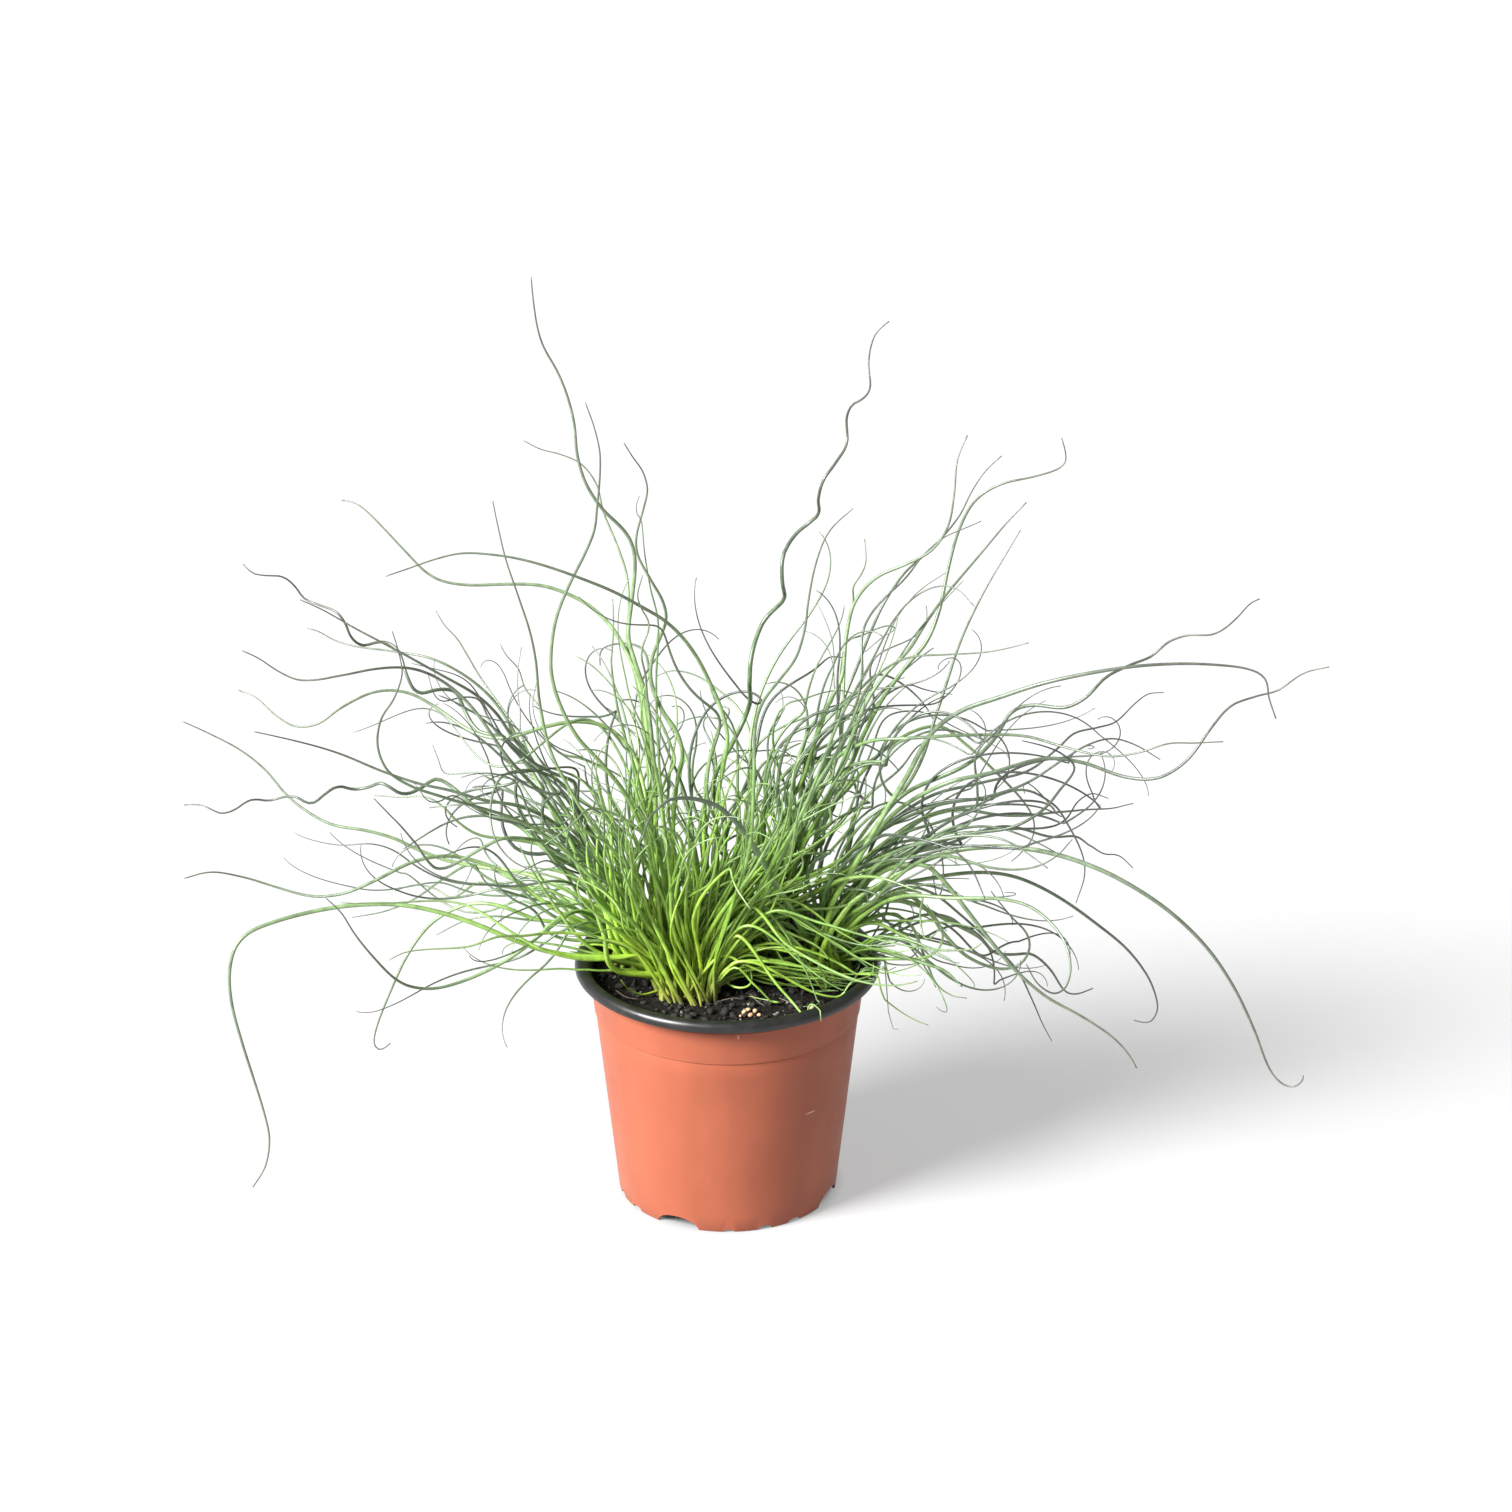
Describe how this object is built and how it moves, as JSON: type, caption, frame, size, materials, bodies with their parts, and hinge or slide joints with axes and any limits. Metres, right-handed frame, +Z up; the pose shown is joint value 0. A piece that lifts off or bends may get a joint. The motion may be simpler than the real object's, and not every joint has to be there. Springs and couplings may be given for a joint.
{
  "type": "potted corkscrew rush",
  "caption": "Corkscrew rush with long wavy, looping and spiralling green stems in a small terracotta-coloured plastic nursery pot with a black rim.",
  "frame": {"origin": "on the ground below the middle of the whole plant's box; the pot's axis stands at x -6.0 mm, y -13.4 mm", "axes": "+Z up; the pictured side faces -Y; +X to the right as pictured, along the plant's widest spread"},
  "size_m": [0.4492, 0.2433, 0.376],
  "materials": {
    "pot_plastic": "satin",
    "soil": "matte",
    "rush": "satin"
  },
  "bodies": {
    "root": {"pot": "pot_plastic", "soil": "soil", "clump_front": "rush", "clump_left": "rush", "clump_back": "rush", "clump_middle": "rush", "clump_right": "rush", "stem_left_drooping": "rush", "stem_tall_left_bow": "rush", "stem_left_low_thin": "rush", "stem_thin_bow_left": "rush", "stem_thin_upright_left": "rush", "stem_upright_hooked": "rush", "stem_upright_centre": "rush", "stem_arc_right_front": "rush", "stem_right_level_thin": "rush", "stem_tall_left_thin": "rush", "stem_tall_left": "rush", "stem_arch_left_high": "rush", "stem_upright_left": "rush", "stem_left_wavy_lower": "rush", "stem_left_hooked": "rush", "stem_corkscrew_left": "rush", "stem_left_low_wave": "rush", "stem_left_straight": "rush", "stem_left_wavy_upper": "rush", "stem_left_hanging_loop": "rush", "stem_left_reaching": "rush", "stem_left_zigzag": "rush", "stem_left_ring": "rush", "stem_left_bowed": "rush", "stem_left_thin_hook": "rush", "stem_left_sloping": "rush", "stem_left_arched": "rush", "stem_corkscrew_left_high": "rush", "stem_tall_right_thin": "rush", "stem_back_arch": "rush", "stem_back_left": "rush", "stem_thin_wiggly_left": "rush", "stem_arch_left_long": "rush", "stem_right_upright": "rush", "stem_right_level": "rush", "stem_tall_right": "rush", "stem_tall_right_hook": "rush", "stem_corkscrew_tall": "rush", "stem_right_bent_down": "rush", "stem_wavy_centre_right": "rush", "stem_right_cupped": "rush", "stem_right_curled_low": "rush", "stem_right_dark_straight": "rush", "stem_right_drooping": "rush", "stem_arch_right": "rush", "stem_wavy_right": "rush", "stem_right_curled_under": "rush", "stem_right_low_loop": "rush", "stem_wavy_right_high": "rush", "stem_right_waving": "rush", "stem_right_pale": "rush", "stem_right_stepped": "rush", "stem_right_slanting": "rush"}
  },
  "joints": []
}
